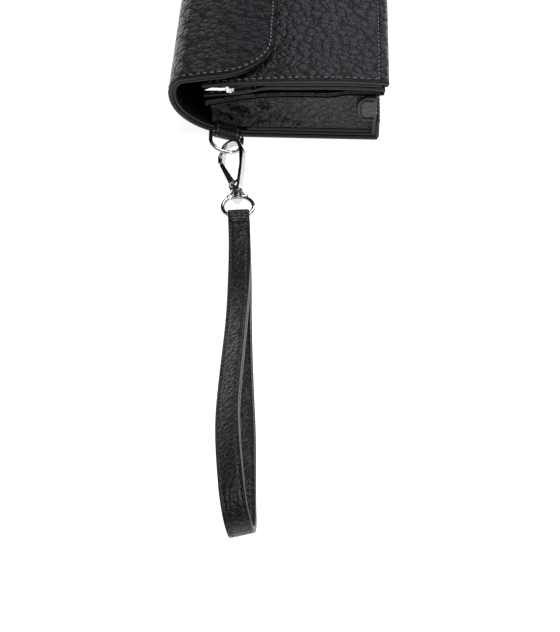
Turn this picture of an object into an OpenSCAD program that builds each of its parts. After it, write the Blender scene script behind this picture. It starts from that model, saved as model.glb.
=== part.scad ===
// Wristlet wallet: a flap wallet lying on its back, with a wrist strap on a swivel snap hook.
// Millimetres. Origin on the back's flat face, midway between the ends. +Z is up through the front,
// +Y runs along the wallet away from the strap, and +X runs from the fold to the bottom edge.

/* [Wallet] */
// Length of the wallet, end to end
wallet_len = 190; // [170:1:210]
// Distance from the fold's crease line to the bottom edge of the back
back_w = 93; // [90:0.5:96]
// Height of the spine up to the flap's hinge line
spine_h = 22.3; // [20:0.1:25]
// Reach of the spine's curve along the back
spine_reach = 35; // [30:0.5:38]
// Thickness of the outer leather of the back and flap
cover_t = 2; // [1.4:0.1:2.2]
// Thickness of the lining of the back and flap
lining_t = 1.4; // [1:0.1:1.6]
// Greatest height of the front panel's crown
front_top = 32.1; // [31.9:0.1:32.3]
// Radius of the flap's corners
flap_corner_r = 25; // [15:1:30]

/* [Strap] */
// Width of the wrist strap
strap_w = 9; // [8:0.1:9.4]
// Thickness of one leg of the strap, both layers
strap_t = 2.3; // [2:0.1:2.4]
// Length of the strap from the ring's bar to its far bend
strap_len = 174; // [155:1:185]
// Greatest distance between the middles of the two legs
loop_gap = 16.5; // [10:0.5:20]

/* [Hardware] */
// Radius of the ring wire
wire_r = 0.95; // [0.8:0.05:1]
// Thickness of the snap hook's frame
hook_t = 3.1; // [2.8:0.1:3.2]
// Radial clearance of the turning fits
run_fit = 0.06; // [0.03:0.01:0.1]
// Diameter of the magnetic snap
snap_d = 14; // [12:0.5:15]

/* [Hidden] */
$fn = 48;

// leather and metal colours
leather = "#1d1c20";
leather_soft = "#26252a";
lining = "#2b2a2f";
board = "#5a564e";
chrome = "silver";

// thin gap between pieces that lie against each other on different bodies
slip = 0.3;
half_len = wallet_len / 2;
edge_x = back_w / 2 - 0.5;
curve_x = edge_x - back_w + spine_reach;
hinge_z = spine_h + slip / 2;
fold_x = curve_x - spine_reach;

// ---------- curves ----------
function between(a, b, x) = let (t = max(0, min(1, (x - a) / (b - a)))) t * t * (3 - 2 * t);

// a point of the spine: angle 0 is where it leaves the flat back, 90 is the hinge line, d is the depth inwards
function spine_point(angle, d) =
    let (nx = sin(angle) / spine_reach, nz = cos(angle) / spine_h, n = norm([nx, nz]))
    [curve_x - spine_reach * sin(angle) + d * nx / n, spine_h - spine_h * cos(angle) + d * nz / n];

// the back and spine between two depths, from x_end on the flat back round to an angle on the spine
function back_outline(d0, d1, x_end, last) = concat(
    [[x_end, d0]], [for (a = [0:5:last]) spine_point(a, d0)],
    [for (a = [last:-5:0]) spine_point(a, d1)], [[x_end, d1]]);

// the flap rises in a quarter bend and then runs over the front in a shallow arch
bend_x = fold_x + 7.6;
arch_x0 = fold_x + 6.4;
flap_edge_x = -1;
function arch_z(x) = 35.2 - 0.0023 * pow(x - 1, 2);
bend_rise = (arch_z(arch_x0) - hinge_z) / sin(80.7);
function flap_bend(angle, d) =
    let (nx = cos(angle) / 7.6, nz = -sin(angle) / bend_rise, n = norm([nx, nz]))
    [bend_x - 7.6 * cos(angle) + d * nx / n, hinge_z + slip / 2 + bend_rise * sin(angle) + d * nz / n];
function flap_arch(x, d) =
    let (slope = -0.0046 * (x - 1), n = norm([slope, 1]))
    [x + d * slope / n, arch_z(x) - d / n];
function flap_outline(d0, d1, x_end) = concat(
    [for (i = [0:12]) flap_bend(80 * i / 12, d0)], [for (i = [0:12]) flap_arch(arch_x0 + (x_end - arch_x0) * i / 12, d0)],
    [for (i = [12:-1:0]) flap_arch(arch_x0 + (x_end - arch_x0) * i / 12, d1)],
    [for (i = [12:-1:0]) flap_bend(80 * i / 12, d1)]);

// layers of the front section, as heights over x
front_x0 = -32;
front_x1 = 49.5;
function front_z(x) = front_top - 0.00125 * pow(x - 27, 2);
function body_share(x) = max(0, min(1, (x - front_x0) / 40));
function panel_under(x) = front_z(x) - 1.2 - body_share(x);
function lining_under(x) = panel_under(x) - 0.65 - 0.9 * body_share(x);
function rear_drop(x) = 3.3 * (1 - between(-17.5, -2.5, x));
function rear_top(x) = lining_under(x) - 0.4 - rear_drop(x);
function rear_under(x) = rear_top(x) - 0.9 - 0.8 * between(-17.5, -2.5, x);
function divider_lift(x) = 1.3 * between(22, 33, x);
function divider_top(x) = 24.2 - 0.003 * pow(min(0, x - 12), 2) + divider_lift(x);
function divider_under(x) = 21.8 - 0.0037 * pow(min(0, x - 10), 2) + divider_lift(x) * 1.25;
function card_top(x) = x > curve_x ? card_base + card_t
    : spine_point(asin((curve_x - x) / spine_reach), card_base + card_t)[1];

// a slab along Y between two heights over x; all slabs bend at the same places, so that layers meet
grid = 2.5;
function on_grid(height, x) =
    let (a = floor(x / grid) * grid, share = (x - a) / grid)
    height(a) * (1 - share) + height(a + grid) * share;
module slab(x0, x1, upper, lower, y0, y1) {
    first = (floor(x0 / grid) + 1) * grid;
    xs = concat([x0], [for (x = [first:grid:x1 - 0.01]) x], [x1]);
    last = len(xs) - 1;
    along_y(y0, y1) polygon(concat([for (x = xs) [x, on_grid(lower, x)]],
                                   [for (i = [last:-1:0]) [xs[i], on_grid(upper, xs[i])]]));
}

// a drawing in x and z carried along Y
module along_y(y0, y1) {
    translate([0, y1, 0]) rotate([90, 0, 0]) linear_extrude(y1 - y0) children();
}

// a plan outline carried up through the flap, with two round corners at its free edge
module flap_plan(inset) {
    r = flap_corner_r - inset;
    x1 = flap_edge_x - inset;
    y1 = half_len - inset;
    linear_extrude(60) {
        translate([-60, -y1]) square([60 + x1 - r, 2 * y1]);
        translate([-60, -y1 + r]) square([60 + x1, 2 * (y1 - r)]);
        for (side = [-1, 1]) translate([x1 - r, side * (y1 - r)]) circle(r, $fn = 96);
    }
}

// ---------- wallet body ----------
lip_h = 10.5;
lip_r = cover_t / 2;
module back_cover() {
    color(leather) union() {
        along_y(-half_len, half_len) polygon(back_outline(0, cover_t, edge_x - lip_r, 90));
        along_y(-half_len, half_len) {
            translate([edge_x - lip_r, lip_r]) circle(lip_r);
            translate([edge_x - 1.6, lip_r]) square([1.6, lip_h - lip_r]);
        }
    }
}

board_t = 0.7;
module back_stiffener() {
    color(board) translate([curve_x, -half_len + 6, cover_t]) cube([50, wallet_len - 12, board_t]);
}

wall_x = edge_x - 1.7;
module back_lining() {
    color(lining) difference() {
        along_y(-half_len, half_len) polygon(back_outline(cover_t, cover_t + lining_t, wall_x, 90));
        translate([curve_x, -half_len + 6, cover_t - 1]) cube([50, wallet_len - 12, board_t + 1]);
        tab_place() translate([-6.2, 0, -4]) cube([12.4, 20, 8]);
    }
}

card_base = cover_t + lining_t;
card_t = 1.5;
module card_panel() {
    color(lining) difference() {
        along_y(-half_len + 1, half_len - 1) polygon(back_outline(card_base, card_base + card_t, wall_x - 2.1, 35));
        tab_place() translate([-6.2, 0, -4]) cube([12.4, 20, 8]);
    }
}

// one card pocket lies flat on the card panel, each a step nearer the bottom edge than the one under it
slot_t = 0.8;
module card_slot(index) {
    color(leather_soft) translate([curve_x + 4 + 11 * index, -half_len + 8, card_base + card_t + slot_t * index])
        cube([wall_x - 4 - (curve_x + 4 + 11 * index), wallet_len - 16, slot_t]);
}
module card_slot_back() { card_slot(0); }
module card_slot_middle() { card_slot(1); }
module card_slot_front() { card_slot(2); }

// the strip closes the bottom edge and laps over each gusset in a rounded tab
strip_t = 2;
strip_top = 23;
module end_tab(y0) {
    intersection() {
        along_y(y0, y0 + 1.2) union() {
            translate([wall_x - 0.1, 17.2]) scale(0.6) circle(10.6);
            translate([wall_x - 4, 10.9]) square([4, strip_top - 10.9]);
            translate([wall_x - 9, 14.5]) square([9, 5.4]);
            for (z = [14.5, 19.9]) translate([wall_x - 5.4, z]) circle(3.55);
        }
        translate([wall_x - 12, y0 - 1, card_base]) cube([12, 4, strip_top - card_base]);
    }
}
module bottom_strip() {
    color(leather) union() {
        translate([wall_x - strip_t, -half_len - 0.6, card_base]) cube([strip_t, wallet_len + 1.2, strip_top - card_base]);
        end_tab(-half_len - 0.6);
        end_tab(half_len - 0.6);
    }
}

// each gusset is a web of folded leather between the card panel and the divider
function web_under(x) = card_top(x) + 0.2;
function web_upper(x) = divider_under(x) - 0.2;
module gusset(y0) {
    color(leather_soft) difference() {
        slab(-28.5, wall_x - strip_t - 0.1, function(x) web_upper(x), function(x) web_under(x), y0, y0 + 1.2);
        tab_place() translate([-tab_w / 2 - 0.2, 0, -4]) cube([tab_w + 0.4, 20, 4 + tab_t + 0.3]);
    }
}
module near_gusset() { gusset(-half_len + 1.2); }
module far_gusset() { gusset(half_len - 2.4); }

// ---------- ring tab and D-ring ----------
tab_x = -21.3;
bar_y = -5.2;
bar_z = 5.4;
tab_tilt = 15;
tab_w = 11.8;
tab_t = 1.25;
bar_half = 7;
// the tab's frame: x along the ring's bar, y into the wallet, with its origin at the wallet's end
module tab_place() {
    translate([tab_x, -half_len, bar_z]) rotate([0, tab_tilt, 0]) children();
}
module ring_tab() {
    r = wire_r + run_fit;
    color(leather_soft) tab_place() difference() {
        union() {
            translate([-tab_w / 2, bar_y, 0]) rotate([0, 90, 0]) cylinder(h = tab_w, r = r + tab_t);
            translate([-tab_w / 2, bar_y, -tab_t]) cube([tab_w, -bar_y + 9, 2 * tab_t]);
        }
        translate([-tab_w, bar_y, 0]) rotate([0, 90, 0]) cylinder(h = 2 * tab_w, r = r);
    }
}

ring_slope = 1;
side_len = 5.2;
// the D-ring's frame: x along the bar, -y towards the strap
module d_ring_place() {
    tab_place() translate([0, bar_y, 0]) rotate([ring_slope, 0, 0]) children();
}
module rod(a, b, r) {
    d = b - a;
    translate(a) rotate([0, acos(d[2] / norm(d)), atan2(d[1], d[0])]) cylinder(h = norm(d), r = r);
}
module d_ring() {
    color(chrome) d_ring_place() union() {
        rod([-bar_half, 0, 0], [bar_half, 0, 0], wire_r);
        for (side = [-1, 1]) {
            translate([side * bar_half, 0, 0]) sphere(wire_r);
            rod([side * bar_half, 0, 0], [side * bar_half, -side_len, 0], wire_r);
        }
        translate([0, -side_len, 0]) rotate([0, 0, 180]) rotate_extrude(angle = 180)
            translate([bar_half, 0]) circle(wire_r);
    }
}

// ---------- snap hook ----------
hook_at = [-14.6, -139.6, 4.2];
hook_pitch = 2;
hook_roll = -28;
hook_yaw = 5.5;
pivot = [-0.7, 4.8];
pin_r = 1;
// the hook's frame: y along its length towards the nose, z out of its front face
module hook_place(roll) {
    translate(hook_at) rotate([0, 0, hook_yaw]) rotate([hook_pitch, 0, 0]) rotate([0, roll, 0]) children();
}
gate_t = 2;
module hook_outline() {
    nose = [-1.2, 29.8];
    // the nose is most of a ring
    difference() {
        translate(nose) circle(5);
        translate(nose) circle(3.6);
        translate(nose - [8, 8]) square([16, 8]);
    }
    // the finger comes down to the gate
    polygon([[-6.18, 30.1], [-4.78, 30.1], [-5.2, 27], [-5.6, 22.7], [-7.5, 22.7], [-7.4, 27.2]]);
    // the spine
    polygon([[1, 7], [2.7, 7], [4.4, 19.5], [4.9, 26], [3.79, 30.1], [2.39, 30.1], [3, 25.5], [2.7, 17]]);
    // the block that holds the gate
    translate(pivot) circle(2.4);
    polygon([[-2.3, 0.6], [1.6, 0.6], [2.75, 7.6], [1.2, 7.6], [-3, 4.8]]);
}
module gate_outline() {
    translate(pivot) circle(1.85);
    polygon([[-7.2, 22.1], [-5.5, 22.35], [0.1, 6.3], [-2.4, 4.2]]);
}
module hook_frame() {
    color(chrome) hook_place(hook_roll) difference() {
        union() {
            translate([0, 0, -hook_t / 2]) linear_extrude(hook_t) hook_outline();
            rotate([-90, 0, 0]) translate([0, 0, -1.1]) cylinder(h = 1.4, r = 3);
            rotate([-90, 0, 0]) translate([0, 0, 0.3]) cylinder(h = 1.3, r1 = 3, r2 = 2.1);
        }
        translate([0, 0, -gate_t / 2 - 0.08]) linear_extrude(gate_t + 0.16) {
            translate(pivot) circle(2.05);
            polygon([[-9, 22], [-9, 8], [-4, 3.4], [pivot[0], 2.9], [0.75, 3.8], [0.85, 8], [0.85, 22]]);
        }
        translate([pivot[0], pivot[1], -5]) cylinder(h = 10, r = pin_r);
        rotate([-90, 0, 0]) translate([0, 0, -2]) cylinder(h = 3.4, r = post_r);
    }
}
module gate_rivet() {
    color(chrome) hook_place(hook_roll) translate([pivot[0], pivot[1], 0]) union() {
        translate([0, 0, -hook_t / 2]) cylinder(h = hook_t, r = pin_r);
        for (side = [-1, 1]) translate([0, 0, side * (hook_t / 2 + 0.15) - 0.15]) cylinder(h = 0.3, r = 1.8);
    }
}
module gate() {
    color(chrome) hook_place(hook_roll) difference() {
        translate([0, 0, -gate_t / 2]) linear_extrude(gate_t) gate_outline();
        translate([pivot[0], pivot[1], -5]) cylinder(h = 10, r = pin_r + run_fit);
        translate([pivot[0], pivot[1], -gate_t]) cylinder(h = gate_t - 0.6, r = 2.2);
    }
}
// a small coil round the rivet, under the gate's eye, pushes the gate shut
module gate_spring() {
    color("#8d9094") hook_place(hook_roll) translate([pivot[0], pivot[1], -1]) difference() {
        cylinder(h = 0.35, r = 1.7);
        translate([0, 0, -1]) cylinder(h = 3, r = pin_r + 0.1);
    }
}

post_r = 1.2;
head_y = -3.75;
module swivel_post() {
    color(chrome) hook_place(0) rotate([90, 0, 0]) union() {
        translate([0, 0, -1.3]) cylinder(h = 1.3 - head_y, r = post_r);
        translate([0, 0, -head_y]) cylinder(h = 0.7, r = 2.1);
        translate([0, 0, -head_y + 0.7]) cylinder(h = 0.35, r1 = 2.1, r2 = 1.4);
    }
}

// ---------- swivel ring and strap ----------
ring_r = 6.55;
ring_y = -8.8;
bar_drop = 4.7;
bar_reach = sqrt(ring_r * ring_r - bar_drop * bar_drop);
module swivel_ring() {
    color(chrome) hook_place(0) difference() {
        union() {
            difference() {
                translate([0, ring_y, 0]) rotate_extrude() translate([ring_r, 0]) circle(wire_r);
                translate([-20, ring_y - bar_drop - 20, -5]) cube([40, 20, 10]);
            }
            rod([-bar_reach, strap_at, 0], [bar_reach, strap_at, 0], wire_r);
            for (side = [-1, 1]) translate([side * bar_reach, strap_at, 0]) sphere(wire_r);
            rod([-3.6, -2.4, 0], [3.6, -2.4, 0], 1.15);
            for (side = [-1, 1]) translate([side * 3.6, -2.4, 0]) sphere(1.15);
            rotate([90, 0, 0]) translate([0, 0, 1.25]) cylinder(h = 2.35, r = 2.4);
        }
        rotate([90, 0, 0]) cylinder(h = 6, r = post_r + run_fit);
        rotate([90, 0, 0]) translate([0, 0, 3.6]) cylinder(h = 2, r = 2.3);
    }
}

// the strap's outer leather turns round the ring's bar, in a hole that opens a little at its ends
// where the ring curves away
strap_at = ring_y - bar_drop;
layer_t = strap_t / 2;
fold_r = wire_r + 0.1;
fold_stub = 7;
function hole_r(x) = max(fold_r, bar_drop - sqrt(pow(ring_r - wire_r, 2) - x * x) + 0.12);
module strap_fold() {
    outer = fold_r + layer_t;
    half = strap_w / 2;
    stub = strap_t + 0.05;
    color(leather) hook_place(0) translate([0, strap_at, 0]) difference() {
        union() {
            translate([-half, 0, 0]) rotate([0, 90, 0]) cylinder(h = strap_w, r = outer);
            rotate([90, 0, 90]) translate([0, 0, -half]) linear_extrude(strap_w)
                polygon([[0, outer], [-fold_stub, stub], [-fold_stub, -stub], [0, -outer]]);
        }
        rotate([0, 90, 0]) cylinder(h = 2 * strap_w, r = fold_r, center = true);
        for (side = [0, 1]) mirror([side, 0, 0]) rotate([0, 90, 0]) rotate_extrude() polygon(concat(
            [[0, half - 0.5]], [for (i = [0:5]) [hole_r(half - 0.5 + 0.1 * i), half - 0.5 + 0.1 * i]],
            [[hole_r(half), half + 1], [0, half + 1]]));
    }
}

// the loop: each leg leaves the fold, they part slowly, and a half-round bend joins them
strap_bar = [-13.31, -153.03, 3.73];
loop_start = fold_stub + 0.1;
bend_start = strap_len - loop_gap / 2 - 4;
function loop_mid(t) = [strap_bar[0] + 0.0963 * t - 0.000819 * t * t + 0.00000338 * pow(t, 3), strap_bar[1] - t * 0.997,
    strap_bar[2] - 0.2 + 4.6 * between(20, 100, t) + 2 * between(70, 165, t)];
function loop_roll(t) = 26 * between(12, 75, t) - 13 * between(115, 170, t);
function loop_yaw(t) = atan(0.0963 - 0.001638 * t + 0.00001014 * t * t);
function leg_gap(t) = strap_t + 0.1 + (loop_gap - strap_t - 0.1) * between(50, 160, t);
// distance along and height of the band's middle, for a share u of the way round from 0 to 1
function loop_place(u) =
    let (leg = 0.44, turn = (u - leg) / (1 - 2 * leg) * 180)
    u < leg ? let (t = loop_start + (bend_start - loop_start) * u / leg) [t, leg_gap(t) / 2, 0]
    : u > 1 - leg ? let (t = loop_start + (bend_start - loop_start) * (1 - u) / leg) [t, -leg_gap(t) / 2, 180]
    : [bend_start + (loop_gap / 2 + 4) * sin(turn), leg_gap(bend_start) / 2 * cos(turn), turn];
function loop_point(u, across, depth) =
    let (p = loop_place(u), q0 = loop_place(max(0, u - 0.002)), q1 = loop_place(min(1, u + 0.002)),
         along = q1[0] - q0[0], rise = q1[1] - q0[1], n = norm([along, rise]),
         t = p[0] - depth * -rise / n, h = p[1] - depth * along / n,
         m = loop_mid(t), roll = loop_roll(t), yaw = loop_yaw(t))
    [m[0] + across * cos(roll) * cos(yaw) - h * sin(roll), m[1] + across * cos(roll) * sin(yaw),
     m[2] + across * sin(roll) + h * cos(roll)];
module band(d0, d1) {
    steps = 72;
    half = strap_w / 2;
    pts = [for (i = [0:steps]) let (u = i / steps)
        for (c = [[-half, d0], [half, d0], [half, d1], [-half, d1]]) loop_point(u, c[0], c[1])];
    // both layers cut their faces across from the same edge, so that they meet
    sides = [for (i = [0:steps - 1], k = [0:3]) let (a = 4 * i + k, b = 4 * i + (k + 1) % 4)
        each k == 2 ? [[a, a + 4, b], [a + 4, b + 4, b]] : [[a, a + 4, b + 4], [a, b + 4, b]]];
    faces = concat([[0, 1, 2, 3]], sides, [[for (k = [3:-1:0]) 4 * steps + k]]);
    polyhedron(pts, faces, convexity = 6);
}
module strap_outer() { color(leather) band(-layer_t, 0); }
module strap_lining() { color(lining) band(0.02, layer_t); }

// ---------- flap ----------
snap_x = -13;
snap_tilt = -6.3;
// a frame on the front panel's face at the snap, z out of the panel
module snap_place() {
    translate([snap_x, 0, front_z(snap_x)]) rotate([0, snap_tilt, 0]) children();
}
stud_gap = 1;
plate_t = 0.9;
module flap_cover() {
    color(leather) intersection() {
        along_y(-half_len, half_len) polygon(flap_outline(0, cover_t, flap_edge_x));
        flap_plan(0);
    }
}
module flap_lining() {
    color(lining) difference() {
        intersection() {
            along_y(-half_len, half_len) polygon(flap_outline(cover_t, cover_t + lining_t, flap_edge_x));
            flap_plan(0.6);
        }
        snap_place() translate([0, 0, stud_gap - 1]) cylinder(h = 1 + plate_t, r = snap_d / 2 + 0.05);
        snap_place() cylinder(h = 8, r = 5.05);
    }
}
module snap_stud() {
    color(chrome) snap_place() union() {
        translate([0, 0, stud_gap]) cylinder(h = plate_t, r = snap_d / 2);
        translate([0, 0, stud_gap - 2.4]) cylinder(h = 2.5, r = 2.5);
    }
}
module snap_stud_washer() {
    color("#9a9ca0") snap_place() difference() {
        translate([0, 0, stud_gap + plate_t]) cylinder(h = 0.35, r = 5);
        cylinder(h = 9, r = 1.5);
    }
}

// ---------- front section ----------
module front_panel() {
    color(leather) difference() {
        union() {
            slab(front_x0, front_x1 - 1.6, function(x) front_z(x), function(x) panel_under(x), -half_len, half_len);
            along_y(-half_len, half_len) translate([front_x1 - 1.7, front_z(front_x1) - 1.55]) circle(1.6);
        }
        snap_place() translate([0, 0, -3]) cylinder(h = 8, r = snap_d / 2 + 0.05);
    }
}
module front_lining() {
    color(lining) difference() {
        slab(front_x0 + 0.6, front_x1 - 3.4, function(x) panel_under(x), function(x) lining_under(x),
             -half_len + 0.4, half_len - 0.4);
        snap_place() translate([0, 0, -6]) cylinder(h = 8, r = snap_d / 2 + 0.05);
    }
}
module pocket_rear_panel() {
    color(leather_soft) slab(front_x0 + 0.6, front_x1 - 1.8, function(x) rear_top(x), function(x) rear_under(x),
                             -half_len + 0.4, half_len - 0.4);
}
module snap_socket() {
    color(chrome) snap_place() difference() {
        translate([0, 0, -2.1]) cylinder(h = 2.4, r = snap_d / 2);
        translate([0, 0, -1.7]) cylinder(h = 4, r = 3.1);
        translate([0, 0, -1.6]) cylinder(h = 1.4, r = 6);
    }
}
module snap_magnet() {
    color("#3b3d42") snap_place() difference() {
        translate([0, 0, -1.6]) cylinder(h = 1.4, r = 6);
        translate([0, 0, -3]) cylinder(h = 4, r = 3.1);
    }
}
module snap_socket_washer() {
    color("#9a9ca0") snap_place() difference() {
        translate([0, 0, -2.5]) cylinder(h = 0.4, r = 6.5);
        translate([0, 0, -4]) cylinder(h = 4, r = 1.5);
    }
}

// zip in the pocket's mouth: its chain stands upright between the two lips
zip_x = -19.6;
zip_z = 24.95;
tooth_h = 0.95;
row_gap = 0.4;
zip_y0 = -half_len + 2.1;
zip_y1 = half_len - 9;
tape_t = 0.4;
tape_share_x0 = zip_x + 1.6;
function tape_share(x) = between(tape_share_x0, tape_share_x0 + 5, x);
function upper_tape(x) = let (low = zip_z + row_gap / 2 + tooth_h + tape_t) low + (lining_under(x) - low) * tape_share(x);
function lower_tape(x) = max(zip_z - row_gap / 2 - tooth_h, rear_top(x) + tape_t);
module zip_tape_upper() {
    color(leather_soft) slab(zip_x - 0.5, zip_x + 9, function(x) upper_tape(x), function(x) upper_tape(x) - tape_t,
                             zip_y0 - 1.7, zip_y1 + 5);
}
module zip_tape_lower() {
    color(leather_soft) slab(zip_x - 0.5, zip_x + 9, function(x) lower_tape(x), function(x) lower_tape(x) - tape_t,
                             zip_y0 - 1.7, zip_y1 + 5);
}
module tooth_row(z0) {
    for (y = [zip_y0:2.4:zip_y1]) translate([zip_x - 0.6, y, z0]) cube([1.2, 1.3, tooth_h]);
}
module zip_teeth_upper() { color(chrome) tooth_row(zip_z + row_gap / 2); }
module zip_teeth_lower() { color(chrome) tooth_row(zip_z - row_gap / 2 - tooth_h); }
module zip_stops() {
    color(chrome) for (stop = [[zip_y0 - 1.7, 0.6], [zip_y1 + 2.8, 1.6]])
        translate([zip_x - 0.6, stop[0], zip_z - row_gap / 2 - tooth_h]) cube([1.2, stop[1], row_gap + 2 * tooth_h]);
}
slider_y = zip_y0 - 1;
module zip_slider() {
    color(chrome) union() {
        translate([zip_x - 1.75, slider_y, zip_z - 1.55]) cube([1, 6.5, 3.1]);
        translate([zip_x + 0.75, slider_y, zip_z - 1.1]) cube([0.7, 6.5, 2.2]);
        translate([zip_x - 1, slider_y, zip_z - 0.14]) cube([2, 2, 0.28]);
        translate([pull_x, pull_y, zip_z - 1.3]) cylinder(h = 2.6, r = 0.5);
        translate([pull_x, pull_y - 0.5, zip_z - 1.3]) cube([1.1, 1, 0.5]);
        translate([pull_x, pull_y - 0.5, zip_z + 0.8]) cube([1.1, 1, 0.5]);
    }
}
pull_x = zip_x - 2.75;
pull_y = slider_y + 1.4;
pull_len = 8.4;
module zip_pull() {
    color(chrome) difference() {
        union() {
            translate([pull_x, pull_y + 1.1, zip_z]) rotate([90, 0, 0]) linear_extrude(2.2)
                polygon([[-0.5, -0.7], [-0.5, 0.7], [-pull_len + 3, 0.75], [-pull_len, -0.45], [-pull_len, -0.7]]);
            translate([pull_x, pull_y, zip_z - 0.7]) cylinder(h = 1.4, r = 0.92);
        }
        translate([pull_x, pull_y, zip_z - 2]) cylinder(h = 4, r = 0.5 + run_fit);
    }
}

// ---------- divider ----------
divider_x1 = 47.5;
module divider_panel() {
    color(leather_soft) slab(-31, divider_x1, function(x) divider_top(x), function(x) divider_under(x),
                             -half_len + 0.8, half_len - 0.8);
}
// two card pockets on the divider's lower face
module divider_slot(x0, depth) {
    color(lining) slab(x0, 18, function(x) divider_under(x) - depth, function(x) divider_under(x) - depth - 0.7,
                       -half_len + 8, half_len - 8);
}
module divider_slot_low() { divider_slot(-24, 0); }
module divider_slot_high() { divider_slot(-14, 0.7); }

back_cover();
back_stiffener();
back_lining();
card_panel();
card_slot_back();
card_slot_middle();
card_slot_front();
bottom_strip();
near_gusset();
far_gusset();
ring_tab();
flap_cover();
flap_lining();
snap_stud();
snap_stud_washer();
front_panel();
front_lining();
pocket_rear_panel();
zip_tape_upper();
zip_tape_lower();
zip_teeth_upper();
zip_teeth_lower();
zip_stops();
snap_socket();
snap_magnet();
snap_socket_washer();
divider_panel();
divider_slot_low();
divider_slot_high();
zip_slider();
zip_pull();
d_ring();
hook_frame();
gate_rivet();
swivel_post();
gate_spring();
gate();
swivel_ring();
strap_fold();
strap_outer();
strap_lining();
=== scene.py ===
import math

import bpy
import bmesh
from mathutils import Euler, Matrix, Vector, noise


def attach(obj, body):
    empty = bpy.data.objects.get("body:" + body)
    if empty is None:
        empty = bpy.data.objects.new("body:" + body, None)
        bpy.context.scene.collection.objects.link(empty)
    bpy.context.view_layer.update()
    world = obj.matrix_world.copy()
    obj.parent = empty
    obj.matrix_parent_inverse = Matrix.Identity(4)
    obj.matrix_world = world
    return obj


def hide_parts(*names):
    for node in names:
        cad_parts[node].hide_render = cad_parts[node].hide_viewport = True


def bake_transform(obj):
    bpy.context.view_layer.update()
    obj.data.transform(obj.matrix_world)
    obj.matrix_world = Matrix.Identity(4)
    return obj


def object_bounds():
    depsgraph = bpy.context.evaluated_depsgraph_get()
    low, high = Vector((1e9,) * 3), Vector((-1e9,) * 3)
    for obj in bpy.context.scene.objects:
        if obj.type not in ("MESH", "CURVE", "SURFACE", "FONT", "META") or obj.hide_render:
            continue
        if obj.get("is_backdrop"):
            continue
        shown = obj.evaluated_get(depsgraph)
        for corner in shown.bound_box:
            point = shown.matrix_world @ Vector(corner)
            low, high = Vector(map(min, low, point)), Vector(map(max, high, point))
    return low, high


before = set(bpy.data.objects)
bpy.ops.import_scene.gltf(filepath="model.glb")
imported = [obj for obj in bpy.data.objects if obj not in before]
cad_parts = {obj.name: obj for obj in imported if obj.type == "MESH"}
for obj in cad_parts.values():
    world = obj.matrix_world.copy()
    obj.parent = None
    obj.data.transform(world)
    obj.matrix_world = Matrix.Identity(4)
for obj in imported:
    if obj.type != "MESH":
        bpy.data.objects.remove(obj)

cad_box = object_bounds()
MM = 0.001

# the wallet's driving sizes, in millimetres. The stitches are not in the CAD, the rest is as in it
HALF = 95.0  # half the wallet's length
BACK_END = -12  # where the back stops being flat and the spine's curve starts
SPINE_REACH, SPINE_H = 35, 22.3
FLAP_R = 25  # radius of the flap's corners
STITCH_IN = 2.1  # from an edge to its row of stitches
COVER_T, LINING_T = 2.0, 1.4  # thicknesses of the cover's leather and of its lining
FRONT_TOP = 32.1  # top of the front panel's crown
FLAP_TOP = 35.2  # top of the flap's arch
FRONT_LIP = -32  # the front panel's edge at the zip
ZIP_Z = 24.95  # height of the zip's middle


# ---------- small helpers ----------
def between(a, b, x):
    """A smooth step: 0 at a, 1 at b."""
    t = max(0.0, min(1.0, (x - a) / (b - a)))
    return t * t * (3 - 2 * t)


def span(a, b, n):
    return [a + (b - a) * i / n for i in range(n + 1)]


def graded(a, b, step, near=(0.0, 0.35, 0.8, 1.3, 1.7, 2.0, 2.3, 2.7, 3.4, 4.6, 6.5)):
    """Positions from a to b: close together near both ends, for rims and stitch grooves, then even."""
    near = [d for d in near if d < (b - a) / 2 - 0.3]
    low = [a + d for d in near]
    high = [b - d for d in reversed(near)]
    n = max(1, round((high[0] - low[-1]) / step))
    return low[:-1] + span(low[-1], high[0], n) + high[1:]


# ---------- the wallet's curves, in millimetres, as in the CAD source ----------
def spine_point(angle, d):
    """A point of the spine's ellipse, d inside its outer face."""
    a = math.radians(angle)
    nx, nz = math.sin(a) / SPINE_REACH, math.cos(a) / SPINE_H
    n = math.hypot(nx, nz)
    x = BACK_END - SPINE_REACH * math.sin(a)
    z = SPINE_H - SPINE_H * math.cos(a)
    return (x + d * nx / n, z + d * nz / n)


def arch_z(x):
    return FLAP_TOP - 0.0023 * (x - 1) ** 2


ARCH_START = -40.6  # where the flap's bend meets its arch
BEND_RISE = (arch_z(ARCH_START) - 22.45) / math.sin(math.radians(80.7))


def flap_bend(angle, d):
    a = math.radians(angle)
    reach = 7.6
    nx, nz = math.cos(a) / reach, -math.sin(a) / BEND_RISE
    n = math.hypot(nx, nz)
    x = -39.4 - reach * math.cos(a)
    z = 22.6 + BEND_RISE * math.sin(a)
    return (x + d * nx / n, z + d * nz / n)


def flap_arch(x, d):
    slope = -0.0046 * (x - 1)
    n = math.hypot(slope, 1)
    return (x + d * slope / n, arch_z(x) - d / n)


def front_z(x):
    return FRONT_TOP - 0.00125 * (x - 27) ** 2


def share(x):
    """How far the front's layers have reached their full thickness: 0 at the zip, 1 from 40 mm on."""
    return max(0.0, min(1.0, (x - FRONT_LIP) / 40))


def panel_under(x):
    return front_z(x) - 1.2 - share(x)


def lining_under(x):
    return panel_under(x) - 0.65 - 0.9 * share(x)


def past_zip(x):
    return between(-17.5, -2.5, x)


def rear_top(x):
    return lining_under(x) - 0.4 - 3.3 * (1 - past_zip(x))


def rear_under(x):
    return rear_top(x) - 0.9 - 0.8 * past_zip(x)


def divider_lift(x):
    return 1.3 * between(22, 33, x)


def divider_top(x):
    return 24.2 - 0.003 * min(0.0, x - 12) ** 2 + divider_lift(x)


def divider_under(x):
    return 21.8 - 0.0037 * min(0.0, x - 10) ** 2 + divider_lift(x) * 1.25


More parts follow.
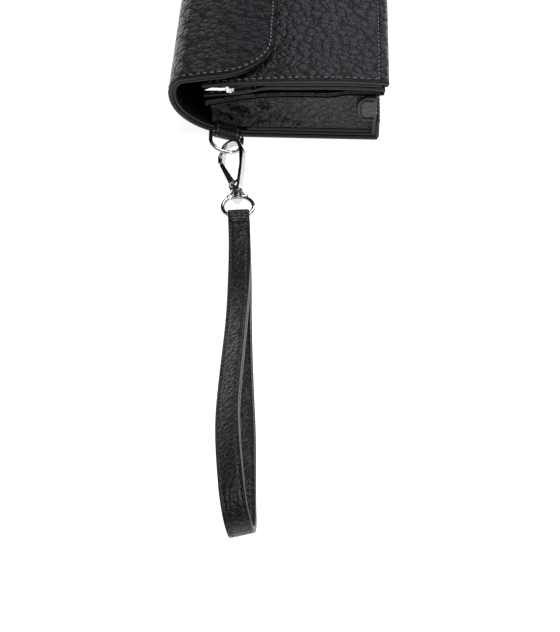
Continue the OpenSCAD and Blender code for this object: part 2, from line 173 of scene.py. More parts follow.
CARD_TOP = 4.9  # upper face of the card panel, from the back's outer face
CARD_UNDER = 3.42


def card_top(x):
    if x > BACK_END:
        return CARD_TOP
    angle = math.degrees(math.asin(min(1.0, (BACK_END - x) / SPINE_REACH)))
    return spine_point(angle, CARD_TOP)[1]


# ---------- materials ----------
def new_material(name):
    m = bpy.data.materials.new(name)
    m.use_nodes = True
    nt = m.node_tree
    return m, nt, nt.nodes["Principled BSDF"]


def add(nt, kind, **values):
    node = nt.nodes.new(kind)
    for key, value in values.items():
        if key in node.inputs:
            node.inputs[key].default_value = value
        else:
            setattr(node, key, value)
    return node


def ramp(nt, fac, stops):
    r = nt.nodes.new("ShaderNodeValToRGB")
    while len(r.color_ramp.elements) < len(stops):
        r.color_ramp.elements.new(0.5)
    for e, (pos, col) in zip(r.color_ramp.elements, stops):
        e.position = pos
        e.color = (*col, 1) if len(col) == 3 else (col[0],) * 3 + (1,)
    nt.links.new(fac, r.inputs["Fac"])
    return r.outputs["Color"]


def mathn(nt, op, a, b=None, clamp=False):
    n = nt.nodes.new("ShaderNodeMath")
    n.operation = op
    n.use_clamp = clamp
    for i, v in enumerate((a, b)):
        if v is None:
            continue
        if isinstance(v, (int, float)):
            n.inputs[i].default_value = v
        else:
            nt.links.new(v, n.inputs[i])
    return n.outputs[0]


def raise_by(nt, bsdf, height, strength, distance):
    """Bump from a height, on the surface's normal."""
    bump = add(nt, "ShaderNodeBump", Strength=strength, Distance=distance)
    nt.links.new(height, bump.inputs["Height"])
    nt.links.new(bump.outputs["Normal"], bsdf.inputs["Normal"])
    return bump


def place(nt, rest=True):
    """Where the pattern is read from: the mesh's own rest position, or the object's on a CAD node."""
    if rest:
        a = nt.nodes.new("ShaderNodeAttribute")
        a.attribute_name = "rest"
        return a.outputs["Vector"]
    return nt.nodes.new("ShaderNodeTexCoord").outputs["Object"]


def leather(name, crease, top, cell, rough, strength, depth, fine=0.25, coat=0.0, shine=0.34):
    """Pebbled hide: cells with creases between them, finer pores on top, and soft patches of darker tone at random.
    Its colour is painted shade, dark in the creases and lighter on the tops. cell and depth are metres, and rough
    is for the creases and the tops."""
    blotch = 0.35
    m, nt, bsdf = new_material(name)
    p = place(nt)
    warp = add(nt, "ShaderNodeTexNoise", Scale=1 / (cell * 2.6), Detail=3.0, Roughness=0.55)
    nt.links.new(p, warp.inputs["Vector"])
    off = add(nt, "ShaderNodeVectorMath", operation="SCALE")
    nt.links.new(warp.outputs["Color"], off.inputs[0])
    off.inputs["Scale"].default_value = cell * 0.55
    q = add(nt, "ShaderNodeVectorMath", operation="ADD")
    nt.links.new(p, q.inputs[0])
    nt.links.new(off.outputs[0], q.inputs[1])
    big = add(nt, "ShaderNodeTexVoronoi", feature="DISTANCE_TO_EDGE", Scale=1 / cell)
    nt.links.new(q.outputs[0], big.inputs["Vector"])
    small = add(nt, "ShaderNodeTexVoronoi", feature="DISTANCE_TO_EDGE", Scale=2.7 / cell)
    nt.links.new(q.outputs[0], small.inputs["Vector"])
    pores = add(nt, "ShaderNodeTexNoise", Scale=9 / cell, Detail=4.0, Roughness=0.6)
    nt.links.new(p, pores.inputs["Vector"])
    wide = add(nt, "ShaderNodeTexNoise", Scale=0.16 / cell, Detail=2.0)
    nt.links.new(p, wide.inputs["Vector"])
    dome = add(nt, "ShaderNodeTexVoronoi", feature="SMOOTH_F1", Scale=1 / cell, Smoothness=0.18)
    nt.links.new(q.outputs[0], dome.inputs["Vector"])
    crown = ramp(nt, dome.outputs["Distance"],
                 [(0.0, (1.0,)), (0.2, (0.94,)), (0.4, (0.7,)), (0.6, (0.28,)), (0.8, (0.0,))])
    split = ramp(nt, big.outputs["Distance"],
                 [(0.0, (0.0,)), (0.05, (0.4,)), (0.14, (0.85,)), (0.3, (1.0,))])
    pebble = mathn(nt, "ADD", mathn(nt, "MULTIPLY", crown, 0.6), mathn(nt, "MULTIPLY", split, 0.4))
    minor = ramp(nt, small.outputs["Distance"], [(0.0, (0.0,)), (0.1, (0.7,)), (0.3, (1.0,))])
    height = mathn(nt, "ADD", pebble, mathn(nt, "MULTIPLY", minor, 0.2))
    height = mathn(nt, "ADD", height, mathn(nt, "MULTIPLY", pores.outputs["Fac"], fine))
    raise_by(nt, bsdf, height, strength, depth)
    shade = mathn(nt, "ADD", mathn(nt, "MULTIPLY", wide.outputs["Fac"], 2 * blotch), 1 - blotch)
    # painted shade: this colour factor is darkest in the creases between the pebbles and lightest on their tops,
    # times the random blotch
    painted_crease_shade_and_blotch = mathn(nt, "MULTIPLY", pebble, shade, clamp=True)
    middle = tuple((a + b) / 2 for a, b in zip(crease, top))
    nt.links.new(ramp(nt, painted_crease_shade_and_blotch, [(0.0, crease), (0.55, middle), (1.0, top)]), bsdf.inputs["Base Color"])
    nt.links.new(ramp(nt, height, [(0.1, (rough[0],)), (0.8, (rough[1],))]), bsdf.inputs["Roughness"])
    bsdf.inputs["Specular IOR Level"].default_value = shine
    bsdf.inputs["Coat Weight"].default_value = coat
    bsdf.inputs["Coat Roughness"].default_value = 0.35
    return m


def edge_paint(name, colour, rough=0.42):
    """Brushed-on edge paint: almost even, with a faint run along it and worn dull spots."""
    m, nt, bsdf = new_material(name)
    p = place(nt)
    n1 = add(nt, "ShaderNodeTexNoise", Scale=900.0, Detail=3.0)
    n2 = add(nt, "ShaderNodeTexNoise", Scale=110.0, Detail=2.0)
    for n in (n1, n2):
        nt.links.new(p, n.inputs["Vector"])
    dark = tuple(c * 0.55 for c in colour)
    bsdf.inputs["Specular IOR Level"].default_value = 0.38
    nt.links.new(ramp(nt, n2.outputs["Fac"], [(0.3, dark), (0.7, colour)]), bsdf.inputs["Base Color"])
    nt.links.new(ramp(nt, n1.outputs["Fac"], [(0.3, (rough,)), (0.7, (rough + 0.18,))]),
                 bsdf.inputs["Roughness"])
    raise_by(nt, bsdf, n1.outputs["Fac"], 0.35, 0.00008)
    return m


def metal(name, colour, rough=0.07, rest=False, bevel=0.00022, scratch=0.05):
    """Polished plate: faint swirl scratches and a little haze, with softened corners on sharp CAD edges."""
    m, nt, bsdf = new_material(name)
    p = place(nt, rest)
    haze = add(nt, "ShaderNodeTexNoise", Scale=260.0, Detail=3.0)
    hair = add(nt, "ShaderNodeTexNoise", Scale=2400.0, Detail=2.0, Distortion=1.5)
    for n in (haze, hair):
        nt.links.new(p, n.inputs["Vector"])
    dull = tuple(c * 0.86 for c in colour)
    nt.links.new(ramp(nt, haze.outputs["Fac"], [(0.3, dull), (0.65, colour)]), bsdf.inputs["Base Color"])
    nt.links.new(ramp(nt, haze.outputs["Fac"], [(0.35, (rough,)), (0.75, (rough + 0.09,))]),
                 bsdf.inputs["Roughness"])
    bump = raise_by(nt, bsdf, hair.outputs["Fac"], scratch, 0.00004)
    if bevel:
        round_off = add(nt, "ShaderNodeBevel", samples=6, Radius=bevel)
        nt.links.new(round_off.outputs["Normal"], bump.inputs["Normal"])
    bsdf.inputs["Metallic"].default_value = 1.0
    return m


def woven(name, colour, pitch=0.0006):
    """Crossing threads at a fine pitch, for the zip's tape and the fibre board, with painted shade where the weave
    dips between threads.
    """
    m, nt, bsdf = new_material(name)
    p = place(nt)
    waves = []
    for direction in ("X", "Y"):
        w = add(nt, "ShaderNodeTexWave", Scale=1 / (pitch * 6.28), Distortion=0.6)
        w.bands_direction = direction
        nt.links.new(p, w.inputs["Vector"])
        waves.append(w.outputs["Fac"])
    height = mathn(nt, "MULTIPLY", waves[0], waves[1])
    fuzz = add(nt, "ShaderNodeTexNoise", Scale=1800.0, Detail=3.0)
    nt.links.new(p, fuzz.inputs["Vector"])
    total = mathn(nt, "ADD", height, mathn(nt, "MULTIPLY", fuzz.outputs["Fac"], 0.4))
    # painted shade where the weave lies low, plus random fuzz in the colour
    dark = tuple(c * 0.4 for c in colour)
    nt.links.new(ramp(nt, total, [(0.1, dark), (0.9, colour)]), bsdf.inputs["Base Color"])
    raise_by(nt, bsdf, total, 0.7, 0.00015)
    nt.links.new(ramp(nt, total, [(0.0, (0.9,)), (1.0, (0.72,))]), bsdf.inputs["Roughness"])
    bsdf.inputs["Sheen Weight"].default_value = 0.3
    return m


def thread(name, colour):
    """Twisted sewing thread, with painted shade between its strands."""
    m, nt, bsdf = new_material(name)
    p = place(nt)
    w = add(nt, "ShaderNodeTexWave", Scale=620.0, Distortion=1.0)
    w.bands_direction = "DIAGONAL"
    nt.links.new(p, w.inputs["Vector"])
    # painted shade: the colour darkens in the grooves between the strands
    dark = tuple(c * 0.45 for c in colour)
    nt.links.new(ramp(nt, w.outputs["Fac"], [(0.0, dark), (1.0, colour)]), bsdf.inputs["Base Color"])
    raise_by(nt, bsdf, w.outputs["Fac"], 0.6, 0.00008)
    nt.links.new(ramp(nt, w.outputs["Fac"], [(0.0, (0.5,)), (1.0, (0.3,))]), bsdf.inputs["Roughness"])
    return m


# in each leather below, the first colour is the painted shade of its creases and the second its pebble tops,
# painted lighter
OUTER = leather("outer_leather", (0.0004, 0.0004, 0.0006), (0.0118, 0.0111, 0.0146), cell=0.0036,
                rough=(0.6, 0.14), strength=1.0, depth=0.001, shine=0.33)
# a darker copy of the outer leather for the cover: its darker colours are painted shade, for the flap turned away
# from the light
COVER_SHADED_COPY = leather("cover_leather_shaded_copy", (0.0003, 0.0003, 0.0005), (0.0072, 0.0067, 0.009), cell=0.0036,
                rough=(0.62, 0.15), strength=1.0, depth=0.001, shine=0.14)
SOFT = leather("soft_leather", (0.0012, 0.0012, 0.0016), (0.009, 0.0085, 0.0103), cell=0.0026,
               rough=(0.6, 0.28), strength=0.9, depth=0.0004)
GUSSET = leather("gusset_leather", (0.0004, 0.0004, 0.0006), (0.0104, 0.0098, 0.0126), cell=0.003,
                 rough=(0.5, 0.16), strength=1.0, depth=0.001, coat=0.2, fine=0.2, shine=0.4)
STRAP = leather("strap_leather", (0.001, 0.001, 0.0013), (0.0098, 0.0093, 0.0112), cell=0.0021,
                rough=(0.58, 0.26), strength=0.7, depth=0.00028)
# a lighter copy of the outer leather for the end tabs, with lighter creases: painted light, so their pebbles read
# as catching the light
TAB_LIT_COPY = leather("end_tab_leather_lit_copy", (0.0015, 0.0015, 0.002), (0.012, 0.0115, 0.0125), cell=0.0021,
              rough=(0.5, 0.18), strength=1.0, depth=0.0006, coat=0.5)
LINING = leather("lining_leather", (0.004, 0.004, 0.0045), (0.010, 0.0097, 0.011), cell=0.0009,
                 rough=(0.55, 0.4), strength=0.3, depth=0.00012, fine=0.4)
CRINKLE = leather("strap_lining_leather", (0.002, 0.002, 0.0025), (0.010, 0.0095, 0.0105), cell=0.0021,
                  rough=(0.5, 0.24), strength=0.9, depth=0.0004, coat=0.1)
EDGE = edge_paint("edge_paint", (0.007, 0.0067, 0.0076))
EDGE_LIGHT = edge_paint("strap_edge_paint", (0.026, 0.025, 0.029), rough=0.3)
# the wallet's thread: its own colour lightened with painted highlight for the glare on its stitches; the strap's
# thread keeps a dark colour
THREAD_LIGHTENED_FOR_GLARE = thread("thread", (0.17, 0.166, 0.175))
THREAD_DARK = thread("strap_thread", (0.012, 0.0118, 0.013))
TAPE = woven("zip_tape", (0.02, 0.02, 0.023))
CHROME = metal("chrome", (0.83, 0.84, 0.86), rough=0.06)
NICKEL = metal("nickel", (0.5, 0.5, 0.512), rough=0.07)
NICKEL_WIRE = metal("nickel_wire", (0.5, 0.5, 0.512), rough=0.06, rest=True, bevel=0)
TEETH = metal("zip_teeth", (0.62, 0.62, 0.65), rough=0.16, bevel=0.00012)
STEEL = metal("steel", (0.42, 0.42, 0.44), rough=0.3, bevel=0.0001, scratch=0.2)
BOARD = woven("fibre_board", (0.3, 0.28, 0.24), pitch=0.0011)

# the three faces of a cut piece of hide: its face, its rim and its underside
PLAIN_HIDE = [SOFT, EDGE, SOFT]
LINED = [LINING, EDGE, LINING]


# ---------- mesh makers ----------
def make(name, verts, faces, mats, index=None):
    """A mesh object from points in millimetres, with its rest position kept for the patterns."""
    me = bpy.data.meshes.new(name)
    me.from_pydata([(x * MM, y * MM, z * MM) for x, y, z in verts], [], faces)
    for m in mats:
        me.materials.append(m)
    if index:
        me.polygons.foreach_set("material_index", index)
    me.polygons.foreach_set("use_smooth", [True] * len(faces))
    bm = bmesh.new()
    bm.from_mesh(me)
    bmesh.ops.recalc_face_normals(bm, faces=bm.faces)
    bm.to_mesh(me)
    bm.free()
    rest = me.attributes.new("rest", "FLOAT_VECTOR", "POINT")
    rest.data.foreach_set("vector", [c for v in me.vertices for c in v.co])
    me.update()
    ob = bpy.data.objects.new(name, me)
    bpy.context.scene.collection.objects.link(ob)
    return ob


def shell(name, P, rows, t, mats, bevel=0.35, dent=None):
    """A closed sheet t thick. rows are lists of (s, y), and P(s, y, d) is the point at depth d under
    the outer face. The rim is rounded by bevel, and dent(s, y) presses the outer face in."""
    n, m = len(rows), len(rows[0])
    loop = [(0, j) for j in range(m)] + [(i, m - 1) for i in range(1, n)]
    loop += [(n - 1, j) for j in range(m - 2, -1, -1)] + [(i, 0) for i in range(n - 2, 0, -1)]
    count = len(loop)
    inset = {}
    for k, (i, j) in enumerate(loop):
        a = rows[loop[k - 1][0]][loop[k - 1][1]]
        c = rows[loop[(k + 1) % count][0]][loop[(k + 1) % count][1]]
        b = rows[i][j]
        n1 = (b[1] - a[1], -(b[0] - a[0]))
        n2 = (c[1] - b[1], -(c[0] - b[0]))
        l1, l2 = math.hypot(*n1) or 1, math.hypot(*n2) or 1
        nx, ny = n1[0] / l1 + n2[0] / l2, n1[1] / l1 + n2[1] / l2
        inset[(i, j)] = (b[0] + bevel * nx * 0.75, b[1] + bevel * ny * 0.75)
    verts, faces, index = [], [], []
    for depth in (0, 1):
        for i in range(n):
            for j in range(m):
                s, y = inset.get((i, j), rows[i][j])
                d = t if depth else (dent(s, y) if dent else 0)
                verts.append(P(s, y, d))
    base = len(verts)
    b2 = min(bevel, t * 0.45)
    for d in (b2 * 0.9, t / 2, t - b2 * 0.9):
        for i, j in loop:
            s, y = rows[i][j]
            if d != t / 2:
                si, yi = inset[(i, j)]
                s, y = s * 0.82 + si * 0.18, y * 0.82 + yi * 0.18
            verts.append(P(s, y, d))
    for i in range(n - 1):
        for j in range(m - 1):
            a = i * m + j
            faces.append((a, a + 1, a + m + 1, a + m))
            index.append(0)
            faces.append((n * m + a, n * m + a + m, n * m + a + m + 1, n * m + a + 1))
            index.append(2 if len(mats) > 2 else 0)
    for k in range(count):
        k2 = (k + 1) % count
        a, b = loop[k][0] * m + loop[k][1], loop[k2][0] * m + loop[k2][1]
        ring = [(a, b), (base + k, base + k2), (base + count + k, base + count + k2),
                (base + 2 * count + k, base + 2 * count + k2), (n * m + a, n * m + b)]
        for (p, q), (p2, q2) in zip(ring, ring[1:]):
            faces.append((p, q, q2, p2))
            index.append(1)
    return make(name, verts, faces, mats, index)


class Path:
    """A line in x and z, with a second line under it at depth `full`.
    at(s, d) is the point s along and d deep."""

    def __init__(self, outer, inner, full):
        self.o, self.i, self.full = outer, inner, full
        self.s = [0.0]
        for a, b in zip(outer, outer[1:]):
            self.s.append(self.s[-1] + math.dist(a, b))
        self.length = self.s[-1]

    def at(self, s, d):
        s = max(0.0, min(self.length, s))
        lo, hi = 0, len(self.s) - 1
        while hi - lo > 1:
            mid = (lo + hi) // 2
            if self.s[mid] <= s:
                lo = mid
            else:
                hi = mid
        f = (s - self.s[lo]) / ((self.s[hi] - self.s[lo]) or 1)
        o = [self.o[lo][k] * (1 - f) + self.o[hi][k] * f for k in (0, 1)]
        i = [self.i[lo][k] * (1 - f) + self.i[hi][k] * f for k in (0, 1)]
        return [o[k] + (i[k] - o[k]) * d / self.full for k in (0, 1)]

    def point(self, s, y, d):
        x, z = self.at(s, d)
        return (x, y, z)


def groove(e):
    """How far the face is pressed in at a distance e from the edge: turned edge and stitch channel."""
    channel, width, roll = 0.22, 0.45, 0.3
    return channel * math.exp(-((e - STITCH_IN) / width) ** 2) + roll * (1 - between(0, 1.3, e))


def sag(s, y, size=22.0, amount=0.12, seed=0.0):
    """A soft unevenness, up to `amount` deep, with hollows about `size` across."""
    return amount * (0.5 + 0.5 * noise.noise(Vector((s / size + seed, y / size, seed * 1.7))))


def stitches(name, P, line, body, lift=0.1, pitch=3.1, length=2.3, r=0.38, material=None):
    """Sewn thread along a line of (s, y) on a face: one plump stitch, then a hole's width, and so on."""
    pts = [Vector(P(s, y, -lift)) for s, y in line]
    under = [Vector(P(s, y, 0.6)) for s, y in line]
    cum = [0.0]
    for a, b in zip(pts, pts[1:]):
        cum.append(cum[-1] + (b - a).length)
    count = int(cum[-1] / pitch)
    gap = cum[-1] / count

    def where(t):
        lo = 0
        while lo < len(cum) - 2 and cum[lo + 1] < t:
            lo += 1
        f = (t - cum[lo]) / ((cum[lo + 1] - cum[lo]) or 1)
        p = pts[lo].lerp(pts[lo + 1], f)
        n = (p - under[lo].lerp(under[lo + 1], f)).normalized()
        tangent = (pts[lo + 1] - pts[lo]).normalized()
        return p, n, tangent

    verts, faces = [], []
    for k in range(count):
        mid = (k + 0.5) * gap
        p, n, tangent = where(mid)
        side = tangent.cross(n).normalized()
        base = len(verts)
        rings = 6
        for i in range(rings + 1):
            u = -1 + 2 * i / rings
            q = p + tangent * (u * length / 2)
            rr = r * math.sqrt(max(0.0, 1 - abs(u) ** 3.2)) + 0.015
            drop = n * (-0.42 * abs(u) ** 3 * r)
            for c in range(8):
                a = c * math.pi / 4
                v = q + side * (rr * math.cos(a)) + n * (rr * 0.8 * math.sin(a)) + drop
                verts.append(tuple(v))
        for i in range(rings):
            for c in range(8):
                a, b = base + i * 8 + c, base + i * 8 + (c + 1) % 8
                faces.append((a, b, b + 8, a + 8))
        faces.append(tuple(base + c for c in range(8)))
        faces.append(tuple(base + rings * 8 + c for c in range(7, -1, -1)))
    # stitches without a material of their own get the lightened thread, whose colour carries painted highlight
    ob = make(name, verts, faces, [material or THREAD_LIGHTENED_FOR_GLARE])
    if body:
        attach(ob, body)
    return ob


def tube(name, pts, r, mats, sides):
    """A closed ring of round wire through points in millimetres."""
    pts = [Vector(p) for p in pts]
    n = len(pts)
    verts, faces = [], []
    up = None
    for i, p in enumerate(pts):
        tangent = (pts[(i + 1) % n] - pts[(i - 1) % n]).normalized()
        if up is None:
            up = tangent.orthogonal().normalized()
        up = (up - tangent * up.dot(tangent)).normalized()
        side = tangent.cross(up)
        for c in range(sides):
            w = 2 * math.pi * c / sides
            verts.append(tuple(p + up * (r * math.cos(w)) + side * (r * math.sin(w))))
    for i in range(n):
        for c in range(sides):
            a, b = i * sides + c, i * sides + (c + 1) % sides
            a2, b2 = ((i + 1) % n) * sides + c, ((i + 1) % n) * sides + (c + 1) % sides
            faces.append((a, b, b2, a2))
    return make(name, verts, faces, mats)


# two points on the cover's fold, in metres, between which the cover bends as the flap opens; here they are only
# read, and nothing bends
FOLD_FROM, FOLD_TO = (-0.0455, 0, 0.0185), (-0.0455, 0, 0.0262)
LIP_X, LIP_IN, LIP_TOP = 46.0, 44.4, 10.5  # the lip's two faces and its top edge
LIP_R = 1.0  # radius where the lip turns into the back


# ---------- cover: bottom lip, back, spine and flap in one hide ----------
def cover_lines(d0, d1, lip, flap_x):
    """The cover's cross-section between depths d0 and d1, from the bottom edge to the flap's edge."""
    outer, inner = [], []

    def put(f, *args):
        outer.append(f(*args, d0))
        inner.append(f(*args, d1))

    if lip:
        for z in span(LIP_TOP, LIP_R, 7):
            outer.append((LIP_X, z))
            inner.append((LIP_IN, max(2.0, z)))
        for a in (20, 45, 70):
            r = math.radians(a)
            outer.append((LIP_X - LIP_R + LIP_R * math.cos(r), LIP_R - LIP_R * math.sin(r)))
            inner.append((LIP_IN, 2.0))
    xs = span(LIP_X - LIP_R if lip else LIP_IN - 0.2, BACK_END, 40)
    for x in xs[:-1]:
        outer.append((x, d0))
        inner.append((min(x, LIP_IN), d1))
    for a in span(0, 90, 44):
        put(spine_point, a)
    for a in span(0, 80, 14):
        put(flap_bend, a)
    for x in span(ARCH_START, flap_x, 26)[1:]:
        put(flap_arch, x)
    return Path(outer, inner, d1 - d0)


def flap_half(path, s, inset):
    """Half the cover's width at s: full, until the flap's round corners."""
    left = path.length - s
    r = FLAP_R - inset
    if left >= r:
        return HALF - inset
    return HALF - inset - r + math.sqrt(max(0.0, r * r - (r - left) ** 2))


def cover_rows(path, inset, step):
    """Rows of points across the cover. Near its sides they keep their distance from the edge."""
    margin = 12
    s_values = [s for s in graded(0, path.length - FLAP_R, step) if s < path.length - FLAP_R - 1.5]
    s_values += [path.length - FLAP_R * (1 - math.sin(math.radians(a))) for a in span(-3, 90, 40)]
    rows = []
    for s in s_values:
        w = flap_half(path, s, inset)
        row = []
        for v in graded(-HALF, HALF, 4.2):
            e = HALF - abs(v)
            y = (w - e) if e < margin else abs(v) / (HALF - margin) * (w - margin)
            row.append((s, math.copysign(y, v)))
        rows.append(row)
    return rows


def cover_edge(path, inset, s, y):
    """Distance from the cover's edge, measured round its corners."""
    left = path.length - s
    r = FLAP_R - inset
    w = HALF - inset
    if left < r and abs(y) > w - r:
        return r - math.hypot(r - left, abs(y) - (w - r))
    return min(left, w - abs(y))


cover_path = cover_lines(0, COVER_T, True, -1.0)


def cover_dent(s, y):
    e = cover_edge(cover_path, 0, s, y)
    return max(0.0, groove(e) + sag(s, y) * between(0, 6, e))


# the cover wears the darker copy of the outer leather, whose darkness is painted shade
cover = shell("cover_skin", cover_path.point, cover_rows(cover_path, 0, 2.2), COVER_T,
              [COVER_SHADED_COPY, EDGE, LINING], 0.45, cover_dent)
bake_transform(cover)
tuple(FOLD_FROM)
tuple(FOLD_TO)
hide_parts("back_cover", "flap_cover")

lining_path = cover_lines(COVER_T, COVER_T + LINING_T, False, -1.6)
back_lining = shell("cover_lining", lining_path.point, cover_rows(lining_path, 0.6, 2.6), 1.38,
                    LINED, 0.3, lambda s, y: 0.02)
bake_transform(back_lining)
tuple(FOLD_FROM)
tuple(FOLD_TO)
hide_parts("back_lining", "flap_lining")


def cover_stitch_line():
    """The row of stitches up both sides of the cover and round the flap's corners."""
    turn = cover_path.length - FLAP_R
    row_r = FLAP_R - STITCH_IN

    def corner(side, angles):
        points = []
        for a in angles:
            w = math.radians(a)
            points.append((turn + row_r * math.sin(w), side * (HALF - FLAP_R + row_r * math.cos(w))))
        return points

    line = [(s, -(HALF - STITCH_IN)) for s in span(12, turn, 90)]
    line += corner(-1, span(2, 90, 20))
    line += [(cover_path.length - STITCH_IN, y) for y in span(-(HALF - FLAP_R), HALF - FLAP_R, 60)[1:]]
    line += corner(1, span(88, 2, 20))
    line += [(s, HALF - STITCH_IN) for s in span(turn, 12, 90)]
    return line


def on_cover(s, y, d):
    return cover_path.point(s, y, d + (cover_dent(s, y) if d <= 0 else 0.2))


cover_thread = stitches("cover_stitching", on_cover, cover_stitch_line(), None)
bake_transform(cover_thread)
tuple(FOLD_FROM)
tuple(FOLD_TO)
stitches("lip_stitching", on_cover, [(STITCH_IN, y) for y in span(-92.8, 92.8, 60)], "wallet")


# ---------- front section ----------
def flat_path(upper, lower, x0, x1, full, n=60):
    xs = span(x0, x1, n)
    return Path([(x, upper(x)) for x in xs], [(x, lower(x)) for x in xs], full)


def panel_path():
    """Front panel from the zip's lip to its rolled bottom edge, which turns under."""
    roll_start, roll_r = 47.4, 1.6
    outer = [(x, front_z(x)) for x in span(FRONT_LIP, roll_start, 70)]
    inner = [(x, panel_under(x)) for x in span(FRONT_LIP, roll_start, 70)]
    cx, cz = 47.8, front_z(49.5) - 1.55
    for a in span(80, -60, 12):
        w = math.radians(a)
        outer.append((cx + roll_r * math.cos(w), cz + roll_r * math.sin(w)))
        inner.append((47.2, panel_under(47.2) - (80 - a) / 140 * 0.6))
    return Path(outer, inner, 2.0)


front_path = panel_path()


def front_dent(s, y):
    edge_channel = 44.9
    x = front_path.at(s, 0)[0]
    e = min(HALF - abs(y), s)
    d = groove(e) + sag(s, y, seed=3.1) * between(0, 6, e)
    if 60 < s < front_path.length - 4.6:
        d += 0.75 * math.exp(-((x - edge_channel) / 0.5) ** 2)
    return max(0.0, d)


def sweep_rows(s_values, y0, y1, step=4.2):
    ys = graded(y0, y1, step)
    return [[(s, y) for y in ys] for s in s_values]


def front_s():
    base = graded(0, front_path.length - 12, 2.4)[:-9]
    return base + span(base[-1] + 0.6, front_path.length, 48)


front = shell("front_skin", front_path.point, sweep_rows(front_s(), -HALF, HALF), 2.0,
              [OUTER, EDGE, LINING], 0.4, front_dent)
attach(front, "front_section")
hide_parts("front_panel")


def on_front(s, y, d):
    return front_path.point(s, y, d + (front_dent(s, y) if d <= 0 else 0.2))


end_s = front_path.length - 7.2
for side, tag in ((-1, "near"), (1, "far")):
    stitches(f"front_stitching_{tag}", on_front,
             [(s, side * (HALF - STITCH_IN)) for s in span(STITCH_IN, end_s, 60)], "front_section")
stitches("front_stitching_edge", on_front, [(end_s, y) for y in span(-92.6, 92.6, 60)], "front_section")
stitches("front_stitching_lip", on_front, [(STITCH_IN, y) for y in span(-92.6, 92.6, 60)],
         "front_section")


def layer(name, upper, lower, x0, x1, y_half, body, mats, node, bevel=0.3):
    """A flat piece of leather between two heights, in place of one CAD node."""
    path = flat_path(upper, lower, x0, x1, 1.0)
    rows = sweep_rows(graded(0, path.length, 3.0), -y_half, y_half)
    ob = shell(name, path.point, rows, 1.0, mats, bevel)
    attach(ob, body)
    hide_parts(node)
    return path


layer("front_lining_layer", panel_under, lining_under, -31.4, 46.1, 94.6, "front_section", LINED,
      "front_lining")
rear_path = layer("pocket_rear_layer", rear_top, rear_under, -31.4, 47.7, 94.6, "front_section",
                  PLAIN_HIDE, "pocket_rear_panel")
divider_path = layer("divider_layer", divider_top, divider_under, -31, 47.5, 94.2, "divider",
                     [SOFT, SOFT, SOFT], "divider_panel", bevel=0.8)
for tag, x0, depth in (("low", -24, 0.0), ("high", -14, 0.7)):
    layer(f"divider_pocket_{tag}", lambda x, q=depth: divider_under(x) - q - 0.02,
          lambda x, q=depth: divider_under(x) - q - 0.68, x0, 18, 87, "divider", PLAIN_HIDE,
          f"divider_slot_{tag}", bevel=0.25)


for side, tag in ((-1, "near"), (1, "far")):
    stitches(f"pocket_stitching_{tag}", rear_path.point,
             [(s, side * 92.6) for s in span(2, rear_path.length - 4, 50)], "front_section", lift=0.0)
    stitches(f"divider_stitching_{tag}", divider_path.point,
             [(s, side * 92.0) for s in span(2, divider_path.length - 4, 50)], "divider",
             lift=-0.12, r=0.26)
stitches("divider_stitching_edge", divider_path.point, [(2.2, y) for y in span(-92, 92, 50)],
         "divider", lift=-0.12, r=0.26)


# ---------- gussets: soft webs that crumple where the wallet bends ----------
def gusset(side):
    end = "near" if side < 0 else "far"

    def P(x, up, d):
        # up runs over the web from 0 to 1, and d is towards the inside
        low, high = card_top(x) + 0.25, divider_under(x) - 0.25
        z = low + (high - low) * up
        bulge = math.sin(math.pi * min(1, max(0, up)))
        soft = between(30, -12, x)
        crumple = 1.9 * soft * noise.noise(Vector((x / 6.0, z / 3.0, 1.3 * side)))
        crumple += 0.9 * soft * noise.noise(Vector((x / 2.6 + z / 5.0, z / 2.2, 4.0 + side)))
        crease = 1.3 * between(2, -16, x) * math.sin((z - low) * 0.95 + x * 0.28)
        wave = 0.35 * noise.noise(Vector((x / 9.0, z / 7.0, 8.0 + side)))
        inward = 0.15 + bulge * (2.6 * soft + 1.1 + (crumple + crease) * 0.85 + wave)
        inward = max(0.0, inward)
        return (x, side * (93.75 - inward - d), z)

    rows = [[(x, up) for up in span(0, 1, 26)] for x in span(-28.3, 42.34, 110)]
    ob = shell(f"gusset_web_{end}", P, rows, 1.0, [GUSSET, GUSSET, GUSSET], 0.02)
    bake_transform(ob)
    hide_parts(f"{end}_gusset")


gusset(-1)
gusset(1)


# ---------- bottom strip with its end tabs ----------
STRIP_FACE = 44.28
TAB_ROOT = 44.25  # where an end tab meets the strip
TAB_LOW = 10.9  # an end tab's lower edge


def on_strip(z, y, d):
    return (STRIP_FACE - d, y, z)


def strip_body():
    rows = [[(z, y) for y in graded(-95.2, 95.2, 4.2)] for z in graded(3.5, 23.0, 2.5)]
    ob = shell("bottom_strip_band", on_strip, rows, 1.9, [OUTER, EDGE, SOFT], 0.35,
               lambda s, y: 0.05 + sag(s, y, amount=0.1) * 0.5)
    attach(ob, "wallet")
    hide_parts("bottom_strip")


def tab_left(z):
    """The tab's rounded edge, as x at a height."""
    mid, half = 17.1, 6.3
    u = max(-1.0, min(1.0, (z - mid) / half))
    return 41.9 - 6.4 * (1 - abs(u) ** 2.8) ** 0.5


